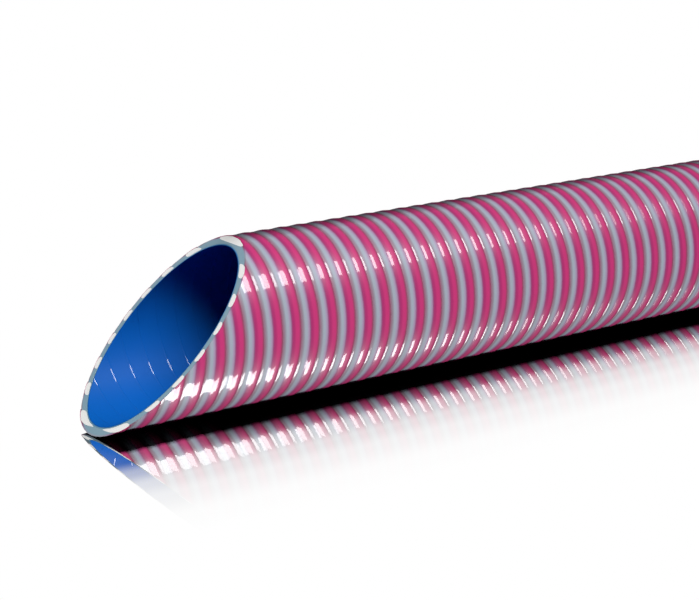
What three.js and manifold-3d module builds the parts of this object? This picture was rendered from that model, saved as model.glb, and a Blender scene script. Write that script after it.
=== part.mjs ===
// Large-bore flexible hose: a smooth liner inside a soft wall, with a rigid plastic helix bedded in
// the wall and a coloured stripe wound over it. It lies on a level surface, along +X. The -X end is
// cut on a slant, with its longest lip at the bottom, and the +X end is cut square.
// Units are millimetres, +Z is up, and the origin is at the middle of the length, on the surface.

import * as THREE from "three";
import { mergeVertices } from "three/addons/utils/BufferGeometryUtils.js";
import Module from "manifold-3d";

// Driving dimensions
const BORE = 152; // clear inside diameter
const LENGTH = 1000; // from the lip of the slanted cut to the square end
const CUT_ANGLE = 45; // between the slanted cut and the axis, in degrees
const LINER_WALL = 1.2; // thickness of the liner
const WEB = 0.8; // soft wall between the liner and the helix
const HELIX_WIDTH = 9.4; // section of the rigid helix, along the axis
const HELIX_HEIGHT = 4.8; // section of the rigid helix, across the wall
const STRIPE_LAP = 0.3; // how far the stripe covers the wall on each side of the helix
const STRIPE_THICKNESS = 0.7; // thickness of the stripe
const BAND_WIDTH = 10.3; // bare wall between two turns of the stripe
const VALLEY_DEPTH = 1.1; // how far the bare band sinks below the stripe
const VALLEY_PLACE = 0.25; // where the band is lowest, as a share of its width from -X
const STRIPE_START = 0.9; // middle of the stripe at the top of the hose, past the lip's own X
const CLEARANCE = 0.3; // between one piece and the next
const SIDES = 16; // flat facets around the hose, one of them facing down

// Sizes worked out from them, from the bore outwards and then along the axis
const boreRadius = BORE / 2;
const linerRadius = boreRadius + LINER_WALL;
const wallBoreRadius = linerRadius + CLEARANCE;
const grooveRadius = wallBoreRadius + WEB;
const helixInnerRadius = grooveRadius + CLEARANCE;
const helixOuterRadius = helixInnerRadius + HELIX_HEIGHT;
const stripeInnerRadius = helixOuterRadius + CLEARANCE;
const outerRadius = stripeInnerRadius + STRIPE_THICKNESS;
const stripeWidth = HELIX_WIDTH + 2 * STRIPE_LAP;
const grooveWidth = stripeWidth + 2 * CLEARANCE;
const pitch = grooveWidth + BAND_WIDTH;
const lipX = -LENGTH / 2;
const squareX = LENGTH / 2;

// Spare stock past the part that is kept, which the cuts take away
const SPARE_DEPTH = 5; // below the bore of the wall
const SPARE_TURNS = 2; // past each end
const firstStep = -Math.ceil((SPARE_TURNS + STRIPE_START / pitch) * SIDES);
const stepCount = Math.ceil((LENGTH / pitch + 2 * SPARE_TURNS) * SIDES);

// Vertices closer than this are one vertex
const MERGE_DISTANCE = 1e-3;

// The corners of one triangle in a list of vertices
const TRIANGLE = [0, 1, 2];

const wasm = await Module();
wasm.setup();

// A closed three.js geometry as a solid that can be joined and cut.
function toSolid(geometry) {
  const bare = geometry.clone();
  bare.deleteAttribute("normal");
  bare.deleteAttribute("uv");
  const merged = mergeVertices(bare, MERGE_DISTANCE);
  const vertProperties = new Float32Array(merged.attributes.position.array);
  const triVerts = new Uint32Array(merged.index.array);
  return new wasm.Manifold(new wasm.Mesh({ numProp: 3, vertProperties, triVerts }));
}

// A solid as a flat-shaded three.js geometry.
function toGeometry(solid) {
  const mesh = solid.getMesh();
  const geometry = new THREE.BufferGeometry();
  geometry.setAttribute("position", new THREE.BufferAttribute(mesh.vertProperties, mesh.numProp));
  geometry.setIndex(new THREE.BufferAttribute(mesh.triVerts, 1));
  const faceted = geometry.toNonIndexed();
  faceted.computeVertexNormals();
  return faceted;
}

// The corner radius of a many-sided tube whose flats lie on the given radius.
function cornerRadius(flatRadius) {
  return flatRadius / Math.cos(Math.PI / SIDES);
}

// Winds a straight bar around the axis, one facet for each of its steps, as a left-handed helix.
// The section's x runs along the axis and its y is the radius of the flats. A section that is one
// pitch wide is fused to its own next turn, so the faces between two turns are left out.
function wind(sectionPoints) {
  const section = new THREE.Shape(sectionPoints);
  const bar = new THREE.ExtrudeGeometry(section, {
    depth: stepCount,
    steps: stepCount,
    bevelEnabled: false,
  });
  const places = sectionPoints.map((point) => point.x);
  const left = Math.min(...places);
  const right = Math.max(...places);
  const fused = right - left > pitch - CLEARANCE / 2;
  const source = bar.attributes.position;
  const kept = [];
  for (let first = 0; first < source.count; first += TRIANGLE.length) {
    const corners = TRIANGLE.map((k) => new THREE.Vector3().fromBufferAttribute(source, first + k));
    const steps = corners.map((point) => stepCount - point.z);
    const onLeft = corners.every((point) => Math.abs(point.x - left) < MERGE_DISTANCE);
    const onRight = corners.every((point) => Math.abs(point.x - right) < MERGE_DISTANCE);
    const joinsTurnBefore = onLeft && Math.round(Math.min(...steps)) >= SIDES;
    const joinsTurnAfter = onRight && Math.round(Math.max(...steps)) <= stepCount - SIDES;
    if (fused && (joinsTurnBefore || joinsTurnAfter)) continue;
    corners.forEach((point, k) => {
      const turn = (firstStep + steps[k] + 0.5) / SIDES;
      const angle = 2 * Math.PI * turn;
      const radius = cornerRadius(point.y);
      const x = lipX + STRIPE_START + point.x + pitch * turn;
      kept.push(x, radius * Math.sin(angle), radius * Math.cos(angle));
    });
  }
  const wound = new THREE.BufferGeometry();
  wound.setAttribute("position", new THREE.Float32BufferAttribute(kept, 3));
  return toSolid(wound);
}

// A plain many-sided tube along the axis, longer than the hose at both ends.
function tube(innerRadius, outerFlatRadius) {
  const half = LENGTH / 2 + pitch;
  const inner = cornerRadius(innerRadius);
  const outer = cornerRadius(outerFlatRadius);
  const profile = [
    new THREE.Vector2(inner, -half),
    new THREE.Vector2(outer, -half),
    new THREE.Vector2(outer, half),
    new THREE.Vector2(inner, half),
    new THREE.Vector2(inner, -half),
  ];
  const ring = new THREE.LatheGeometry(profile, SIDES, Math.PI / SIDES);
  ring.rotateZ(-Math.PI / 2);
  return toSolid(ring);
}

// The body that everything is trimmed to: slanted at the lip's end and square at the other.
function trimBody() {
  const reach = outerRadius + pitch;
  const slope = 1 / Math.tan(THREE.MathUtils.degToRad(CUT_ANGLE));
  const outline = new THREE.Shape([
    new THREE.Vector2(lipX - (reach - outerRadius) * slope, -reach),
    new THREE.Vector2(squareX, -reach),
    new THREE.Vector2(squareX, reach),
    new THREE.Vector2(lipX + (reach + outerRadius) * slope, reach),
  ]);
  const body = new THREE.ExtrudeGeometry(outline, { depth: 2 * reach, bevelEnabled: false });
  body.translate(0, 0, -reach);
  body.rotateX(Math.PI / 2);
  return toSolid(body);
}

// The section of the soft wall over one pitch, around the groove that holds helix and stripe.
// It reaches below its bore, which is cut afterwards.
function wallSection() {
  const core = wallBoreRadius - SPARE_DEPTH;
  const grooveEdge = grooveWidth / 2;
  const lowest = grooveEdge + VALLEY_PLACE * BAND_WIDTH;
  const valleyRadius = outerRadius - VALLEY_DEPTH;
  return [
    new THREE.Vector2(lowest - pitch, core),
    new THREE.Vector2(lowest, core),
    new THREE.Vector2(lowest, valleyRadius),
    new THREE.Vector2(grooveEdge, outerRadius),
    new THREE.Vector2(grooveEdge, grooveRadius),
    new THREE.Vector2(-grooveEdge, grooveRadius),
    new THREE.Vector2(-grooveEdge, outerRadius),
    new THREE.Vector2(lowest - pitch, valleyRadius),
  ];
}

// A plain rectangular section, centred under the stripe.
function flatSection(width, innerRadius, outerFlatRadius) {
  return [
    new THREE.Vector2(-width / 2, innerRadius),
    new THREE.Vector2(width / 2, innerRadius),
    new THREE.Vector2(width / 2, outerFlatRadius),
    new THREE.Vector2(-width / 2, outerFlatRadius),
  ];
}

function placedMesh(name, solid, material) {
  const mesh = new THREE.Mesh(toGeometry(solid), material);
  mesh.name = name;
  mesh.position.z = outerRadius;
  return mesh;
}

// The slanted cut leaves one long coil and, next to the lip, a row of short arcs. The coil keeps
// the plain name, and the arcs are numbered from the lip inwards.
function coilAndArcs(name, solid, material) {
  const pieces = solid.decompose();
  pieces.sort((one, other) => one.boundingBox().min[0] - other.boundingBox().min[0]);
  const coil = pieces.pop();
  const arcs = pieces.map((arc, k) => placedMesh(`${name}_arc_${k + 1}`, arc, material()));
  return [placedMesh(name, coil, material()), ...arcs];
}

function linerMaterial() {
  return new THREE.MeshStandardMaterial({ color: 0x0b4a94, roughness: 0.3, metalness: 0 });
}

function wallMaterial() {
  return new THREE.MeshStandardMaterial({ color: 0xa6adba, roughness: 0.3, metalness: 0 });
}

function helixMaterial() {
  return new THREE.MeshStandardMaterial({ color: 0xe9ebe6, roughness: 0.4, metalness: 0 });
}

function stripeMaterial() {
  return new THREE.MeshStandardMaterial({ color: 0xcf3d7c, roughness: 0.3, metalness: 0 });
}

const trim = trimBody();
const liner = tube(boreRadius, linerRadius).intersect(trim);
const boreCutter = tube(boreRadius - SPARE_DEPTH, wallBoreRadius);
const wall = wind(wallSection()).subtract(boreCutter).intersect(trim);
const helix = wind(flatSection(HELIX_WIDTH, helixInnerRadius, helixOuterRadius)).intersect(trim);
const stripe = wind(flatSection(stripeWidth, stripeInnerRadius, outerRadius)).intersect(trim);

const hose = new THREE.Group();
hose.name = "hose";
hose.add(placedMesh("liner", liner, linerMaterial()));
hose.add(placedMesh("wall", wall, wallMaterial()));
hose.add(...coilAndArcs("helix", helix, helixMaterial));
hose.add(...coilAndArcs("stripe", stripe, stripeMaterial));

export default hose;
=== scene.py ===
"""Dresses a large-bore flexible hose in its finished shapes and plastics, on a pale glossy floor.

The hose lies along +X. Its -X end is cut on a slant and its +X end is cut square. Around it, an angle
is counted from the top of the hose towards +Y. Every helical piece is left-handed: it moves one pitch
towards +X for each full turn of that angle. Lengths are in metres.
"""

import logging
import math
from dataclasses import dataclass
from enum import Enum

import bmesh
import bpy
from mathutils import Matrix, Vector


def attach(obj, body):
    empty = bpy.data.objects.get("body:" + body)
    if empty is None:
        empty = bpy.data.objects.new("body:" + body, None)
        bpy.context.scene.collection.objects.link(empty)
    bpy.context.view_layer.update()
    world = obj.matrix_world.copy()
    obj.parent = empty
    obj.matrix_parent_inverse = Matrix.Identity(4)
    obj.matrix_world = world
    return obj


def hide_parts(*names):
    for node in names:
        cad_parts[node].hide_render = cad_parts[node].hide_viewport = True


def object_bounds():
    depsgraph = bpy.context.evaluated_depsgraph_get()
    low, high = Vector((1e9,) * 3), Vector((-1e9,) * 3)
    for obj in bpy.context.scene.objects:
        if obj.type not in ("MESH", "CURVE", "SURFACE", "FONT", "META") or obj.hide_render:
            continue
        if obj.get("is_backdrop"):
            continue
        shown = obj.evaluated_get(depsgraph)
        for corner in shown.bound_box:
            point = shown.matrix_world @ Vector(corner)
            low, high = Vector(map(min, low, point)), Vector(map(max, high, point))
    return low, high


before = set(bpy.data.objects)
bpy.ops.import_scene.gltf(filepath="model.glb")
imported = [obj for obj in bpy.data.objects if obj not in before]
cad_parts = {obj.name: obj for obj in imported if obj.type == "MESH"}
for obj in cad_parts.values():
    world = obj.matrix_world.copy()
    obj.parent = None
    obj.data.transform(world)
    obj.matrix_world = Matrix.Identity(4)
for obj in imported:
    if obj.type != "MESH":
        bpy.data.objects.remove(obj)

MM = 0.001
LOG = logging.getLogger("hose")
LINER_PIECE = "liner_tube"
PHOTO_WIDTH = 699
SENSOR_WIDTH_MM = 36.0

STEPS_PER_TURN = 64
SPARE_TURNS = 2  # wound past each end, and cut away
MERGE_DISTANCE = 0.01 * MM
SHARP_ANGLE = math.radians(32)

# Noise for the fine streaks of wall and stripe
STREAK_SCALE = 130.0
STREAK_STRETCH = (5.0, 1.0, 1.0)
STREAK_HEIGHT = 0.03 * MM

Colour = tuple[float, float, float, float]
WHITE = (1.0, 1.0, 1.0, 1.0)
BLACK = (0.0, 0.0, 0.0, 1.0)


class HoseEnd(Enum):
    """The two ends that the hose is cut to."""

    SLANTED = "slanted"
    SQUARE = "square"


@dataclass(frozen=True)
class HoseSize:
    """The sizes that all pieces share, the outer ones read from the fixed solids.

    Args:
        lip_x: Place of the longest lip of the slanted end.
        square_x: Place of the square end.
        outer_radius: Radius of the stripe's crest.
        bore_radius: Radius of the smooth bore.
        pitch: Length along the hose of one turn of the stripe.
        stripe_start: Middle of the stripe at the top of the hose, past the lip.
        stripe_half: Half of the stripe's width.
    """

    lip_x: float
    square_x: float
    outer_radius: float
    bore_radius: float = 76.0 * MM
    pitch: float = 20.9 * MM
    stripe_start: float = 0.9 * MM
    stripe_half: float = 4.97 * MM

    @classmethod
    def from_frame(cls) -> "HoseSize":
        """Reads the length and the outside radius from the fixed solids.

        Returns:
            The sizes of the hose.
        """
        low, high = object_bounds()
        square_x = high[0]
        return cls(lip_x=-square_x, square_x=square_x, outer_radius=(high[2] - low[2]) / 2)

    @property
    def stripe_x(self) -> float:
        """Place of the middle of the stripe at the top of the hose."""
        return self.lip_x + self.stripe_start

    @property
    def length(self) -> float:
        """Length from the lip to the square end."""
        return self.square_x - self.lip_x

    @property
    def crest_z(self) -> float:
        """Height of the stripe's crest at the top of the hose."""
        return 2 * self.outer_radius

    def cut(self, end: HoseEnd) -> tuple[Vector, Vector]:
        """Gives the plane of one cut.

        Args:
            end: Which end of the hose.

        Returns:
            A point of the plane, and its direction away from the hose.
        """
        if end is HoseEnd.SLANTED:
            return Vector((self.lip_x, 0.0, 0.0)), Vector((-1.0, 0.0, 1.0)).normalized()
        return Vector((self.square_x, 0.0, 0.0)), Vector((1.0, 0.0, 0.0))


@dataclass(frozen=True)
class Corner:
    """One corner of a section, in millimetres.

    Args:
        along: Place along the hose, from the middle of the stripe.
        depth: Depth below the stripe's crest.
        rounding: Length that its rounding takes from each side.
        segments: Number of edges of the rounding.
    """

    along: float
    depth: float
    rounding: float = 0.0
    segments: int = 3


class Shell:
    """A mesh under construction, made of surfaces that run along the hose and are then cut."""

    def __init__(self, size: HoseSize) -> None:
        """Starts an empty mesh.

        Args:
            size: The sizes of the hose.
        """
        self.size = size
        self.mesh = bmesh.new()

    def wind(self, corners: list[Corner], closed: bool) -> None:
        """Winds a section around the hose, from before the lip to past the square end.

        Args:
            corners: The section, drawn at the top of the hose.
            closed: Whether its last corner joins its first.
        """
        size = self.size
        turn = bmesh.new()
        verts = [
            turn.verts.new((size.stripe_x + corner.along * MM, 0.0, size.crest_z - corner.depth * MM))
            for corner in corners
        ]
        for one, other in zip(verts, verts[1:] + verts[:1] if closed else verts[1:]):
            turn.edges.new((one, other))
        for vert, corner in zip(verts, corners):
            if corner.rounding > 0.0:
                bmesh.ops.bevel(
                    turn,
                    geom=[vert],
                    offset=corner.rounding * MM,
                    offset_type="OFFSET",
                    segments=corner.segments,
                    profile=0.5,
                    affect="VERTICES",
                    material=-1,
                )
        bmesh.ops.spin(
            turn,
            geom=list(turn.verts) + list(turn.edges),
            cent=(0.0, 0.0, size.outer_radius),
            axis=(-1.0, 0.0, 0.0),
            dvec=(size.pitch / STEPS_PER_TURN, 0.0, 0.0),
            angle=math.tau,
            steps=STEPS_PER_TURN,
            use_merge=False,
            use_normal_flip=False,
            use_duplicate=False,
        )
        self._repeat(turn)
        turn.free()

    def _repeat(self, turn: bmesh.types.BMesh) -> None:
        """Adds copies of one turn, a pitch apart, along the whole hose.

        Args:
            turn: One turn, starting above the lip.
        """
        size = self.size
        count = math.ceil(size.length / size.pitch) + 2 * SPARE_TURNS
        single = bpy.data.meshes.new("turn")
        bmesh.ops.translate(turn, verts=turn.verts, vec=(-SPARE_TURNS * size.pitch, 0.0, 0.0))
        for _ in range(count):
            turn.to_mesh(single)
            self.mesh.from_mesh(single)
            bmesh.ops.translate(turn, verts=turn.verts, vec=(size.pitch, 0.0, 0.0))
        bpy.data.meshes.remove(single)
        bmesh.ops.remove_doubles(self.mesh, verts=self.mesh.verts, dist=MERGE_DISTANCE)

    def tube(self, radius: float) -> None:
        """Adds a plain round surface along the axis.

        Args:
            radius: Its radius.
        """
        size = self.size
        level = Matrix.Translation((0.0, 0.0, size.outer_radius)) @ Matrix.Rotation(math.pi / 2, 4, "Y")
        bmesh.ops.create_cone(
            self.mesh,
            cap_ends=False,
            segments=STEPS_PER_TURN,
            radius1=radius,
            radius2=radius,
            depth=size.length + 2 * size.pitch,
            matrix=level,
        )

    def cut_ends(self) -> None:
        """Cuts both ends, closes them with flat faces and marks the sharp edges."""
        mesh = self.mesh
        for face in mesh.faces:
            face.smooth = True
        for end in HoseEnd:
            point, outwards = self.size.cut(end)
            result = bmesh.ops.bisect_plane(
                mesh,
                geom=list(mesh.verts) + list(mesh.edges) + list(mesh.faces),
                dist=MERGE_DISTANCE / 10,
                plane_co=point,
                plane_no=outwards,
                clear_outer=True,
            )
            rim = [item for item in result["geom_cut"] if isinstance(item, bmesh.types.BMEdge)]
            bmesh.ops.triangle_fill(mesh, use_beauty=True, use_dissolve=False, edges=rim, normal=outwards)
        bmesh.ops.recalc_face_normals(mesh, faces=mesh.faces)
        for edge in mesh.edges:
            edge.smooth = edge.calc_face_angle(0.0) < SHARP_ANGLE

    def finish(self, name: str, material: bpy.types.Material) -> bpy.types.Object:
        """Turns the mesh into an object at the origin.

        Args:
            name: Name of the object.
            material: Its material.

        Returns:
            The object.
        """
        data = bpy.data.meshes.new(name)
        self.mesh.to_mesh(data)
        self.mesh.free()
        data.materials.append(material)
        piece = bpy.data.objects.new(name, data)
        bpy.context.collection.objects.link(piece)
        data.calc_loop_triangles()
        LOG.info("%s: %d triangles", name, len(data.loop_triangles))
        return piece


class Nodes:
    """Short ways to add and join the nodes of one material."""

    def __init__(self, name: str) -> None:
        """Starts a material with an empty node tree and its output.

        Args:
            name: Name of the material.
        """
        self.material = bpy.data.materials.new(name)
        self.material.use_nodes = True
        self.tree = self.material.node_tree
        self.tree.nodes.clear()
        self.output = self.tree.nodes.new("ShaderNodeOutputMaterial")

    def add(self, kind: str, **settings: object) -> bpy.types.Node:
        """Adds one node.

        Args:
            kind: Blender's name of the node.
            **settings: Properties to set on it.

        Returns:
            The node.
        """
        node = self.tree.nodes.new(kind)
        for key, value in settings.items():
            setattr(node, key, value)
        return node

    def feed(self, socket: bpy.types.NodeSocket, value: object) -> None:
        """Gives a socket its value, or joins it to the socket that makes it.

        Args:
            socket: The socket to feed.
            value: A number, a colour or another node's output.
        """
        if isinstance(value, bpy.types.NodeSocket):
            self.tree.links.new(value, socket)
        else:
            socket.default_value = value

    def math(self, operation: str, first: object, second: object = 0.0) -> bpy.types.NodeSocket:
        """Adds a Math node. Its third value, which a Wrap starts from, is 0.

        Args:
            operation: Its operation.
            first: Its first value.
            second: Its second value.

        Returns:
            Its result.
        """
        node = self.add("ShaderNodeMath", operation=operation)
        for socket, value in zip(node.inputs, (first, second, 0.0)):
            self.feed(socket, value)
        return node.outputs[0]

    def blend(self, share: object, first: object, second: object) -> bpy.types.NodeSocket:
        """Mixes two colours.

        Args:
            share: How much of the second colour there is.
            first: The first colour.
            second: The second colour.

        Returns:
            The mixed colour.
        """
        node = self.add("ShaderNodeMix", data_type="RGBA")
        self.feed(node.inputs["Factor"], share)
        self.feed(node.inputs[6], first)
        self.feed(node.inputs[7], second)
        return node.outputs[2]

    def ease(self, value: object, start: float, end: float) -> bpy.types.NodeSocket:
        """Eases from 0 to 1 while a value goes from start to end, which may be the smaller one.

        Args:
            value: The value.
            start: Where the result is 0.
            end: Where the result is 1.

        Returns:
            The eased result.
        """
        low, high = min(start, end), max(start, end)
        node = self.add("ShaderNodeMapRange", interpolation_type="SMOOTHSTEP")
        self.feed(node.inputs["Value"], value)
        node.inputs["From Min"].default_value = low
        node.inputs["From Max"].default_value = high
        node.inputs["To Min"].default_value = 0.0 if start < end else 1.0
        node.inputs["To Max"].default_value = 1.0 if start < end else 0.0
        return node.outputs["Result"]

    def ramp(self, value: object, stops: list[tuple[float, Colour]]) -> bpy.types.NodeSocket:
        """Runs through a few colours while a value rises.

        Args:
            value: The value, from 0 to 1.
            stops: Each place with its colour, in rising order.

        Returns:
            The colour at the value.
        """
        node = self.add("ShaderNodeValToRGB")
        node.color_ramp.interpolation = "EASE"
        elements = node.color_ramp.elements
        elements.remove(elements[1])
        elements[0].position, elements[0].color = stops[0]
        for place, colour in stops[1:]:
            elements.new(place).color = colour
        self.feed(node.inputs["Fac"], value)
        return node.outputs["Color"]

    def noise(
        self,
        scale: float,
        detail: float,
        stretch: tuple[float, float, float] = (1.0, 1.0, 1.0),
    ) -> bpy.types.NodeSocket:
        """Adds a fine noise on Object coordinates.

        Args:
            scale: Its scale.
            detail: Its detail.
            stretch: Scale along each axis.

        Returns:
            The noise, from 0 to 1.
        """
        place = self.add("ShaderNodeTexCoord")
        mapping = self.add("ShaderNodeMapping")
        mapping.inputs["Scale"].default_value = stretch
        self.feed(mapping.inputs["Vector"], place.outputs["Object"])
        node = self.add("ShaderNodeTexNoise")
        self.feed(node.inputs["Vector"], mapping.outputs["Vector"])
        node.inputs["Scale"].default_value = scale
        node.inputs["Detail"].default_value = detail
        return node.outputs["Fac"]

    def streaks(self) -> bpy.types.NodeSocket:
        """Adds the fine streaks of wall and stripe, which lie around the hose.

        Returns:
            Their height, as a share of STREAK_HEIGHT.
        """
        return self.noise(STREAK_SCALE, 2.0, STREAK_STRETCH)

    def clouded(
        self,
        colour: object,
        cloud: Colour,
        scale: float,
        detail: float,
        amount: float,
    ) -> bpy.types.NodeSocket:
        """Mixes faint clouds of a second colour into a colour.

        Args:
            colour: The colour.
            cloud: Colour of the clouds.
            scale: Scale of their noise.
            detail: Detail of their noise.
            amount: Largest share of their colour.

        Returns:
            The mixed colour.
        """
        share = self.math("MULTIPLY", self.noise(scale, detail), amount)
        return self.blend(share, colour, cloud)

    def places(self, size: HoseSize) -> tuple[bpy.types.NodeSocket, bpy.types.NodeSocket]:
        """Works out where a point lies on the hose, from its Object coordinates.

        Args:
            size: The sizes of the hose.

        Returns:
            Its share of a pitch past the stripe's -X edge, and its depth in mm below the crest.
        """
        place = self.add("ShaderNodeTexCoord")
        split = self.add("ShaderNodeSeparateXYZ")
        self.feed(split.inputs[0], place.outputs["Object"])
        height = self.math("SUBTRACT", split.outputs["Z"], size.outer_radius)
        angle = self.math("ARCTAN2", split.outputs["Y"], height)
        turn = self.math("DIVIDE", angle, math.tau)
        edge = size.stripe_x - size.stripe_half
        along = self.math("DIVIDE", self.math("SUBTRACT", split.outputs["X"], edge), size.pitch)
        share = self.math("WRAP", self.math("SUBTRACT", along, turn), 1.0)
        flat_y = self.math("MULTIPLY", split.outputs["Y"], split.outputs["Y"])
        radius = self.math("SQRT", self.math("ADD", flat_y, self.math("MULTIPLY", height, height)))
        depth = self.math("MULTIPLY", self.math("SUBTRACT", size.outer_radius, radius), 1.0 / MM)
        return share, depth

    def plastic(
        self,
        colour: object,
        roughness: object,
        bump: object,
        bump_height: float,
        coat: object,
        specular: float = 0.5,
    ) -> bpy.types.Material:
        """Closes the material with a glossy plastic shader.

        Args:
            colour: Its colour.
            roughness: Its roughness.
            bump: Height pattern of its fine relief.
            bump_height: Height of that relief in metres.
            coat: Weight of the clear gloss on top.
            specular: How much the plastic below the gloss reflects.

        Returns:
            The material.
        """
        relief = self.add("ShaderNodeBump")
        relief.inputs["Strength"].default_value = 1.0
        relief.inputs["Distance"].default_value = bump_height
        self.feed(relief.inputs["Height"], bump)
        shader = self.add("ShaderNodeBsdfPrincipled")
        self.feed(shader.inputs["Base Color"], colour)
        self.feed(shader.inputs["Roughness"], roughness)
        self.feed(shader.inputs["Normal"], relief.outputs["Normal"])
        self.feed(shader.inputs["Coat Weight"], coat)
        shader.inputs["IOR"].default_value = 1.5
        shader.inputs["Specular IOR Level"].default_value = specular
        shader.inputs["Coat Roughness"].default_value = 0.05
        self.tree.links.new(shader.outputs[0], self.output.inputs["Surface"])
        return self.material


def paint(red: float, green: float, blue: float) -> Colour:
    """Turns a screen colour into the linear one that shaders use.

    Args:
        red: Red, from 0 to 255.
        green: Green, from 0 to 255.
        blue: Blue, from 0 to 255.

    Returns:
        The linear colour, with full alpha.
    """
    linear = [
        value / 12.92 if value <= 0.04045 else ((value + 0.055) / 1.055) ** 2.4
        for value in (red / 255, green / 255, blue / 255)
    ]
    return (linear[0], linear[1], linear[2], 1.0)


@dataclass(frozen=True)
class LinerPlastic:
    """Smooth blue bore with a glossy ridge, paler where the cut shows the thickness of the layer.

    Args:
        bore: Colour of the bore.
        cloud: Colour of its faint clouds.
        cut: Colour inside the layer.
        roughness: Roughness below the gloss.
    """

    bore: Colour = paint(6, 102, 199)
    cloud: Colour = paint(18, 92, 186)
    cut: Colour = paint(124, 184, 222)
    roughness: float = 0.5

    def build(self, size: HoseSize) -> bpy.types.Material:
        """Makes the material.

        Args:
            size: The sizes of the hose.

        Returns:
            The material.
        """
        nodes = Nodes("liner_plastic")
        share, depth = nodes.places(size)
        bore_depth = (size.outer_radius - size.bore_radius) / MM
        into_wall = nodes.ease(depth, bore_depth - 0.25, bore_depth - 0.6)
        bore = nodes.clouded(self.bore, self.cloud, scale=40.0, detail=2.0, amount=0.2)
        colour = nodes.blend(into_wall, bore, self.cut)
        ridge_start = nodes.ease(share, 0.615, 0.63)
        ridge_end = nodes.ease(share, 0.672, 0.658)
        ridge_gloss = nodes.math("MULTIPLY", ridge_start, ridge_end)
        grain = nodes.noise(scale=900.0, detail=2.0, stretch=(0.2, 1.0, 1.0))
        return nodes.plastic(
            colour, self.roughness, grain, bump_height=0.004 * MM, coat=ridge_gloss, specular=0.12
        )


@dataclass(frozen=True)
class WallPlastic:
    """Soft grey wall, bluish inside, tinted next to the stripe, with painted shade in the groove after it.

    Args:
        surface: Colour of the bare band.
        core: Colour inside the wall.
        lavender: Tint of the band before the next stripe.
        purple: Tint right before it.
        groove: Dark magenta tint right after the stripe, partly the stripe's colour and partly painted
            shade of the groove.
        shade: Painted shade of the groove's slope a little past the stripe.
        fading_shade: Lighter painted shade where that shade runs out.
        roughness: Roughness below the gloss.
    """

    surface: Colour = paint(164, 168, 182)
    core: Colour = paint(146, 178, 194)
    lavender: Colour = paint(168, 146, 176)
    purple: Colour = paint(154, 78, 124)
    groove: Colour = paint(150, 76, 104)
    shade: Colour = paint(146, 110, 128)
    fading_shade: Colour = paint(148, 138, 150)
    roughness: float = 0.4

    def build(self, size: HoseSize) -> bpy.types.Material:
        """Makes the material.

        Args:
            size: The sizes of the hose.

        Returns:
            The material.
        """
        nodes = Nodes("wall_plastic")
        share, depth = nodes.places(size)
        stripe_end = 2 * size.stripe_half / size.pitch
        # The ramp paints shade past the stripe's +X edge: dark in the groove, fading to the bare band.
        tints = nodes.ramp(
            share,
            [
                (stripe_end + 0.02, self.groove),
                (stripe_end + 0.1, self.shade),
                (stripe_end + 0.17, self.fading_shade),
                (stripe_end + 0.25, self.surface),
                (0.82, self.surface),
                (0.89, self.lavender),
                (1.0, self.purple),
            ],
        )
        surface = nodes.clouded(tints, self.core, scale=60.0, detail=3.0, amount=0.2)
        colour = nodes.blend(nodes.ease(depth, 1.2, 2.4), surface, self.core)
        return nodes.plastic(colour, self.roughness, nodes.streaks(), STREAK_HEIGHT, coat=1.0)


@dataclass(frozen=True)
class HelixPlastic:
    """Rigid off-white core, with the faint marks of the cut and painted shade on its lower side.

    Args:
        body: Colour of the core.
        shade: Colour of its faint clouds, and painted shade on its lower side.
        roughness: Its roughness.
    """

    body: Colour = paint(254, 254, 252)
    shade: Colour = paint(246, 247, 245)
    roughness: float = 0.35

    def build(self, size: HoseSize) -> bpy.types.Material:
        """Makes the material.

        Args:
            size: The sizes of the hose.

        Returns:
            The material.
        """
        nodes = Nodes("helix_plastic")
        _, depth = nodes.places(size)
        body = nodes.clouded(self.body, self.shade, scale=220.0, detail=3.0, amount=0.6)
        # Painted shade: deeper than 5 to 6 mm below the crest, the core turns to the shade colour.
        colour = nodes.blend(nodes.ease(depth, 5.0, 6.0), body, self.shade)
        knife_marks = nodes.noise(scale=1500.0, detail=3.0, stretch=(1.0, 0.2, 1.0))
        return nodes.plastic(colour, self.roughness, knife_marks, bump_height=0.01 * MM, coat=0.0)


@dataclass(frozen=True)
class StripePlastic:
    """Glossy magenta skin, more purple at its thin edge, with painted shading: lighter on its crown, darker
    on its flank and at its +X edge.

    Args:
        middle: Colour of its crown.
        shaded_flank: Painted shade on the slope next to the thin edge, also the colour of its faint clouds.
        thin_edge: Colour of its -X edge.
        shaded_edge: Painted shade at its +X edge.
        roughness: Roughness below the gloss.
    """

    middle: Colour = paint(201, 56, 119)
    shaded_flank: Colour = paint(170, 48, 108)
    thin_edge: Colour = paint(152, 66, 117)
    shaded_edge: Colour = paint(164, 72, 106)
    roughness: float = 0.4

    def build(self, size: HoseSize) -> bpy.types.Material:
        """Makes the material.

        Args:
            size: The sizes of the hose.

        Returns:
            The material.
        """
        nodes = Nodes("stripe_plastic")
        share, _ = nodes.places(size)
        stripe_end = 2 * size.stripe_half / size.pitch
        # The ramp paints shading across the stripe: painted shade on the flank and at the +X edge, lighter
        # on the crown.
        tints = nodes.ramp(
            share,
            [
                (0.0, self.thin_edge),
                (0.08, self.shaded_flank),
                (0.24, self.middle),
                (0.34, self.middle),
                (stripe_end - 0.02, self.shaded_edge),
                (0.75, self.shaded_edge),
                (0.8, self.thin_edge),
            ],
        )
        colour = nodes.clouded(tints, self.shaded_flank, scale=80.0, detail=3.0, amount=0.25)
        return nodes.plastic(colour, self.roughness, nodes.streaks(), STREAK_HEIGHT, coat=1.0)


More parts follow.
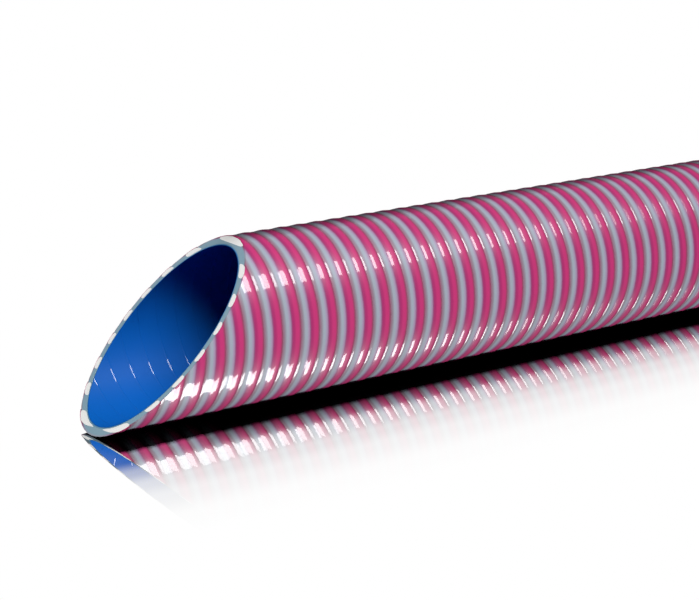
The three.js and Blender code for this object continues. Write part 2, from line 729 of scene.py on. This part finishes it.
@dataclass
class Liner:
    """The smooth inner layer, with one low ridge for each turn on its bore.

    Args:
        size: The sizes of the hose.
        thickness: Thickness of the layer.
        ridge: Height of the ridge, in millimetres.
        ridge_place: Place of its top along the hose from the middle of the stripe, in millimetres.
        ridge_half: Half of its width, in millimetres.
    """

    size: HoseSize
    thickness: float = 1.2 * MM
    ridge: float = 0.27
    ridge_place: float = 8.95
    ridge_half: float = 1.0

    def build(self) -> bpy.types.Object:
        """Makes the liner.

        Returns:
            The finished object.
        """
        size = self.size
        shell = Shell(size)
        depth = (size.outer_radius - size.bore_radius) / MM
        half = size.pitch / MM / 2
        section = [
            Corner(-half, depth),
            Corner(self.ridge_place - self.ridge_half, depth, 0.3, 2),
            Corner(self.ridge_place, depth + self.ridge, 0.3, 2),
            Corner(self.ridge_place + self.ridge_half, depth, 0.3, 2),
            Corner(half, depth),
        ]
        shell.wind(section, closed=False)
        shell.tube(size.bore_radius + self.thickness)
        shell.cut_ends()
        piece = shell.finish(LINER_PIECE, LinerPlastic().build(size))
        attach(piece, "root")
        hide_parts("liner")
        return piece


@dataclass
class ReinforcedWall:
    """The soft wall, the rigid helix in its channel and the coloured skin over it.

    Args:
        size: The sizes of the hose.
        inner_radius: Inside radius of the soft wall.
        gap: Room left between one piece and the next, in millimetres.
        skin: Depth below the crest of the skin's lower side at its edges, in millimetres.
        helix_half: Half of the helix's width, in millimetres.
        helix_top: Depth of its crown below the crest, in millimetres.
        helix_floor: Depth of its flat lower side, in millimetres.
    """

    size: HoseSize
    inner_radius: float = 77.25 * MM
    gap: float = 0.05
    skin: float = 0.85
    helix_half: float = 4.8
    helix_top: float = 0.3
    helix_floor: float = 6.85

    def names(self, kind: str) -> list[str]:
        """Lists the fixed nodes of one kind, the long coil and its severed arcs.

        Args:
            kind: First word of their names.

        Returns:
            Their names.
        """
        return sorted(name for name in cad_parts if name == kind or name.startswith(f"{kind}_arc_"))

    def build_wall(self) -> bpy.types.Object:
        """Makes the soft wall, with the groove beside the stripe and the channel around the helix.

        Returns:
            The finished object.
        """
        size = self.size
        shell = Shell(size)
        pitch = size.pitch / MM
        edge = size.stripe_half / MM
        seat = self.skin
        channel = self.helix_half + self.gap
        floor = self.helix_floor + self.gap
        section = [
            Corner(edge - pitch, seat + 0.2),
            Corner(edge - pitch + 0.5, 1.2, 0.15, 2),
            Corner(edge - pitch + 1.4, 0.86, 0.4, 3),
            Corner(edge - pitch + 2.6, 0.74, 0.6, 2),
            Corner(-edge - 3.3, 0.69, 1.2, 2),
            Corner(-edge, 0.5),
            Corner(-edge, seat),
            Corner(-3.5, seat),
            Corner(-channel, seat + 1.6, 1.3, 3),
            Corner(-channel, floor, 1.5, 3),
            Corner(channel, floor, 1.5, 3),
            Corner(channel, seat + 1.6, 1.3, 3),
            Corner(3.5, seat),
            Corner(edge, seat + 0.2),
        ]
        shell.wind(section, closed=False)
        shell.tube(self.inner_radius)
        shell.cut_ends()
        piece = shell.finish("soft_wall", WallPlastic().build(size))
        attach(piece, "root")
        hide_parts("wall")
        return piece

    def build_helix(self) -> bpy.types.Object:
        """Makes the rigid helix, flat below and crowned above.

        Returns:
            The finished object.
        """
        size = self.size
        shell = Shell(size)
        half = self.helix_half
        shoulder = self.skin + self.gap
        section = [
            Corner(-half, self.helix_floor, 1.5, 3),
            Corner(-half, shoulder + 1.6, 1.3, 3),
            Corner(-3.4, shoulder, 0.6, 2),
            Corner(0.0, self.helix_top, 2.0, 3),
            Corner(3.4, shoulder, 0.6, 2),
            Corner(half, shoulder + 1.6, 1.3, 3),
            Corner(half, self.helix_floor, 1.5, 3),
        ]
        shell.wind(section, closed=True)
        shell.cut_ends()
        piece = shell.finish("helix_core", HelixPlastic().build(size))
        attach(piece, "root")
        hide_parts(*self.names("helix"))
        return piece

    def build_stripe(self) -> bpy.types.Object:
        """Makes the coloured skin, crowned above and seated on the helix below.

        Returns:
            The finished object.
        """
        size = self.size
        shell = Shell(size)
        edge = size.stripe_half / MM - self.gap
        under = self.skin - self.gap
        section = [
            Corner(-edge, 0.5, 0.1, 2),
            Corner(-3.9, 0.4, 0.5, 2),
            Corner(-2.5, 0.14, 0.8, 3),
            Corner(0.4, -0.02, 1.2, 3),
            Corner(2.9, 0.06, 0.9, 3),
            Corner(edge, 0.42, 0.3, 3),
            Corner(edge, under + 0.2),
            Corner(3.3, under),
            Corner(0.0, self.helix_top - self.gap),
            Corner(-3.3, under),
            Corner(-edge, under),
        ]
        shell.wind(section, closed=True)
        shell.cut_ends()
        piece = shell.finish("stripe_skin", StripePlastic().build(size))
        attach(piece, "root")
        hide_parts(*self.names("stripe"))
        return piece


@dataclass(frozen=True)
class Softbox:
    """One flat light that the camera doesn't see.

    Args:
        name: Name of the light.
        place: Its middle.
        aim: The point that it faces.
        length: Its size along the hose.
        width: Its size across.
        radiance: How bright its surface is, where white is 1.
        glossy: Whether reflections show it.
    """

    name: str
    place: tuple[float, float, float]
    aim: tuple[float, float, float]
    length: float
    width: float
    radiance: float
    glossy: bool = True

    def build(self) -> bpy.types.Object:
        """Makes the light.

        Returns:
            The light's object.
        """
        data = bpy.data.lights.new(self.name, "AREA")
        data.shape = "RECTANGLE"
        data.size = self.length
        data.size_y = self.width
        data.energy = self.radiance * math.pi * self.length * self.width
        light = bpy.data.objects.new(self.name, data)
        bpy.context.collection.objects.link(light)
        back = (Vector(self.place) - Vector(self.aim)).normalized()
        across = back.cross(Vector((1.0, 0.0, 0.0))).normalized()
        turn = Matrix((across.cross(back), across, back)).transposed()
        light.matrix_world = Matrix.Translation(self.place) @ turn.to_4x4()
        light.visible_camera = False
        light.visible_glossy = self.glossy
        return light


@dataclass
class Studio:
    """The floor, the white surroundings, the lights and the camera.

    Args:
        size: The sizes of the hose.
        camera_place: Where the camera stands.
        yaw: Its direction from +X towards +Y, in degrees.
        tilt: How far it looks down, in degrees.
        roll: Its turn about its own direction, in degrees.
        focal_px: Its focal length in pixels of the picture.
        floor_half: Half of the floor's side.
        mirror_shares: Pairs of a distance from the hose's axis and the floor's share of mirror there.
        mirror_before: Distances before the lip between which the mirror appears.
        shadow_aside: Distances from the axis between which the mirror turns from the dark of a painted
            shadow to clear.
        shadow_before: The same before the lip, below 0 under the hose.
        shadow_past: The same past the square end.
        under_half: Half of the width of the card under the hose.
        card_height: Height of the card over the hose, from the top of the hose.
        card_edge: Place of that card's front edge, across the hose.
        card_half: Half of that card's width.
        ambient: Strength of the dim surroundings.
    """

    size: HoseSize
    camera_place: tuple[float, float, float] = (-1.2797, -1.6274, 0.5100)
    yaw: float = 56.405
    tilt: float = 12.307
    roll: float = 2.598
    focal_px: float = 1960.59
    floor_half: float = 6.0
    mirror_shares: tuple[tuple[float, float], ...] = (
        (0.1, 1.0),
        (0.135, 0.58),
        (0.17, 0.28),
        (0.21, 0.13),
        (0.27, 0.02),
        (0.32, 0.0),
    )
    mirror_before: tuple[float, float] = (0.2, 0.0)
    shadow_aside: tuple[float, float] = (0.05, 0.125)
    shadow_before: tuple[float, float] = (-0.12, -0.05)
    shadow_past: tuple[float, float] = (-0.08, -0.01)
    under_half: float = 0.045
    card_height: float = 0.05
    card_edge: float = -0.043
    card_half: float = 0.016
    ambient: float = 0.015

    def build_camera(self) -> None:
        """Makes the camera and sets it as the scene's own."""
        yaw, tilt, roll = (math.radians(angle) for angle in (self.yaw, self.tilt, self.roll))
        ahead = Vector((math.cos(yaw) * math.cos(tilt), math.sin(yaw) * math.cos(tilt), -math.sin(tilt)))
        level = Vector((math.sin(yaw), -math.cos(yaw), 0.0))
        below = ahead.cross(level)
        right = math.cos(roll) * level + math.sin(roll) * below
        down = -math.sin(roll) * level + math.cos(roll) * below
        turn = Matrix((right, -down, -ahead)).transposed()
        data = bpy.data.cameras.new("camera")
        data.sensor_fit = "HORIZONTAL"
        data.sensor_width = SENSOR_WIDTH_MM
        data.lens = self.focal_px * SENSOR_WIDTH_MM / PHOTO_WIDTH
        data.clip_start = 0.01
        camera = bpy.data.objects.new("camera", data)
        bpy.context.collection.objects.link(camera)
        camera.matrix_world = Matrix.Translation(self.camera_place) @ turn.to_4x4()
        bpy.context.scene.camera = camera

    def build_world(self) -> None:
        """Makes the surroundings, white to the camera and the floor's mirror and dim to the hose."""
        world = bpy.data.worlds.new("studio")
        world.use_nodes = True
        tree = world.node_tree
        tree.nodes.clear()
        path = tree.nodes.new("ShaderNodeLightPath")
        seen = tree.nodes.new("ShaderNodeMath")
        seen.operation = "MAXIMUM"
        white = tree.nodes.new("ShaderNodeBackground")
        dim = tree.nodes.new("ShaderNodeBackground")
        mix = tree.nodes.new("ShaderNodeMixShader")
        output = tree.nodes.new("ShaderNodeOutputWorld")
        white.inputs["Color"].default_value = WHITE
        dim.inputs["Color"].default_value = (0.85, 0.92, 1.0, 1.0)
        dim.inputs["Strength"].default_value = self.ambient
        tree.links.new(path.outputs["Is Camera Ray"], seen.inputs[0])
        tree.links.new(path.outputs["Is Singular Ray"], seen.inputs[1])
        tree.links.new(seen.outputs[0], mix.inputs[0])
        tree.links.new(dim.outputs[0], mix.inputs[1])
        tree.links.new(white.outputs[0], mix.inputs[2])
        tree.links.new(mix.outputs[0], output.inputs["Surface"])
        bpy.context.scene.world = world

    def build_floor(self) -> None:
        """Makes the floor, a mirror with a painted shadow under the hose, that fades to plain white away
        from it.
        """
        nodes = Nodes("floor")
        place = nodes.add("ShaderNodeTexCoord")
        split = nodes.add("ShaderNodeSeparateXYZ")
        nodes.feed(split.inputs[0], place.outputs["Object"])
        aside = nodes.math("ABSOLUTE", split.outputs["Y"])
        shares = nodes.ramp(aside, [(far, (share, share, share, 1.0)) for far, share in self.mirror_shares])
        before = nodes.math("SUBTRACT", self.size.lip_x, split.outputs["X"])
        past = nodes.math("SUBTRACT", split.outputs["X"], self.size.square_x)
        fade = nodes.math("MULTIPLY", shares, nodes.ease(before, *self.mirror_before))
        # Painted shadow of the hose: the mirror is darkened along the hose, and clear before the lip and
        # past the square end.
        unshadowed_before = nodes.ease(before, *self.shadow_before)
        unshadowed_past = nodes.ease(past, *self.shadow_past)
        near_ends = nodes.math("MAXIMUM", unshadowed_before, unshadowed_past)
        clear = nodes.math("MAXIMUM", nodes.ease(aside, *self.shadow_aside), near_ends)
        white = nodes.add("ShaderNodeEmission")
        white.inputs["Strength"].default_value = 1.0
        mirror = nodes.add("ShaderNodeBsdfGlossy")
        # The painted shadow darkens what the mirror shows near the hose.
        nodes.feed(mirror.inputs["Color"], clear)
        mirror.inputs["Roughness"].default_value = 0.0
        mix = nodes.add("ShaderNodeMixShader")
        nodes.feed(mix.inputs[0], fade)
        nodes.tree.links.new(white.outputs[0], mix.inputs[1])
        nodes.tree.links.new(mirror.outputs[0], mix.inputs[2])
        nodes.tree.links.new(mix.outputs[0], nodes.output.inputs["Surface"])
        floor = self._plane("floor", (self.floor_half, self.floor_half), Vector(), nodes.material)
        floor.visible_diffuse = False
        floor.visible_glossy = False
        floor.visible_shadow = False

    def build_cards(self) -> None:
        """Makes two dark cards that the camera doesn't see.

        One lies under the hose and keeps the light from below off its underside. The other one is a
        narrow strip over the hose, which keeps part of the light from above off its top.
        """
        size = self.size
        nodes = Nodes("card")
        dark = nodes.add("ShaderNodeBsdfDiffuse")
        dark.inputs["Color"].default_value = BLACK
        nodes.tree.links.new(dark.outputs[0], nodes.output.inputs["Surface"])
        overhang = 0.03
        half_length = size.length / 2 + overhang
        below_floor = Vector((0.0, 0.0, -MM))
        under = self._plane("under_card", (half_length, self.under_half), below_floor, nodes.material)
        heel_x = size.lip_x + size.crest_z
        middle = (heel_x + size.square_x) / 2
        top = size.crest_z + self.card_height
        place = Vector((middle, self.card_edge + self.card_half, top))
        over = self._plane("top_card", (size.square_x - middle, self.card_half), place, nodes.material)
        under.visible_camera = False
        over.visible_camera = False
        over.visible_glossy = False

    def build_lights(self, pieces: list[bpy.types.Object]) -> None:
        """Makes the softboxes: a large one overhead, one below the floor and a fill on each side.

        The front fill lights every piece but the liner, so that the bore stays dark.

        Args:
            pieces: The pieces of the hose.
        """
        aim = (-0.1, 0.0, self.size.outer_radius)
        overhead = Softbox(
            name="overhead_box", place=(0.3, -4.16, 6.88), aim=aim, length=6.4, width=2.8, radiance=11.7
        )
        lower = Softbox(
            name="lower_box", place=(0.9, -2.95, -7.3), aim=aim, length=5.2, width=2.8, radiance=13.0
        )
        back = Softbox(
            name="back_fill",
            place=(2.3, 2.8, 1.68),
            aim=aim,
            length=1.5,
            width=1.5,
            radiance=19.0,
            glossy=False,
        )
        front = Softbox(
            name="front_fill",
            place=(-2.43, -1.7, 1.17),
            aim=aim,
            length=1.5,
            width=1.5,
            radiance=6.0,
            glossy=False,
        )
        for box in (overhead, lower, back):
            box.build()
        outside = bpy.data.collections.new("outside")
        for piece in pieces:
            if piece.name != LINER_PIECE:
                outside.objects.link(piece)
        front.build().light_linking.receiver_collection = outside

    def _plane(
        self,
        name: str,
        halves: tuple[float, float],
        place: Vector,
        material: bpy.types.Material,
    ) -> bpy.types.Object:
        """Makes a level stage plane.

        Args:
            name: Name of the object.
            halves: Half of its length and half of its width.
            place: Its middle.
            material: Its material.

        Returns:
            The plane.
        """
        mesh = bmesh.new()
        bmesh.ops.create_grid(mesh, x_segments=1, y_segments=1, size=1.0)
        bmesh.ops.scale(mesh, verts=mesh.verts, vec=(halves[0], halves[1], 1.0))
        bmesh.ops.translate(mesh, verts=mesh.verts, vec=place)
        data = bpy.data.meshes.new(name)
        mesh.to_mesh(data)
        mesh.free()
        data.materials.append(material)
        plane = bpy.data.objects.new(name, data)
        bpy.context.collection.objects.link(plane)
        plane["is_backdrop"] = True
        return plane

    def build(self, pieces: list[bpy.types.Object]) -> None:
        """Makes the whole studio.

        Args:
            pieces: The pieces of the hose.
        """
        self.build_camera()
        self.build_world()
        self.build_floor()
        self.build_cards()
        self.build_lights(pieces)
        bpy.context.scene.view_settings.view_transform = "Standard"


def main() -> None:
    """Builds the hose and the studio around it."""
    logging.basicConfig(level=logging.INFO, format="%(message)s")
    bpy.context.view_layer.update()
    size = HoseSize.from_frame()
    wall = ReinforcedWall(size)
    pieces = [Liner(size).build(), wall.build_wall(), wall.build_helix(), wall.build_stripe()]
    for piece in pieces:
        LOG.info("built %s", piece.name)
    Studio(size).build(pieces)


if __name__ == "__main__":
    main()
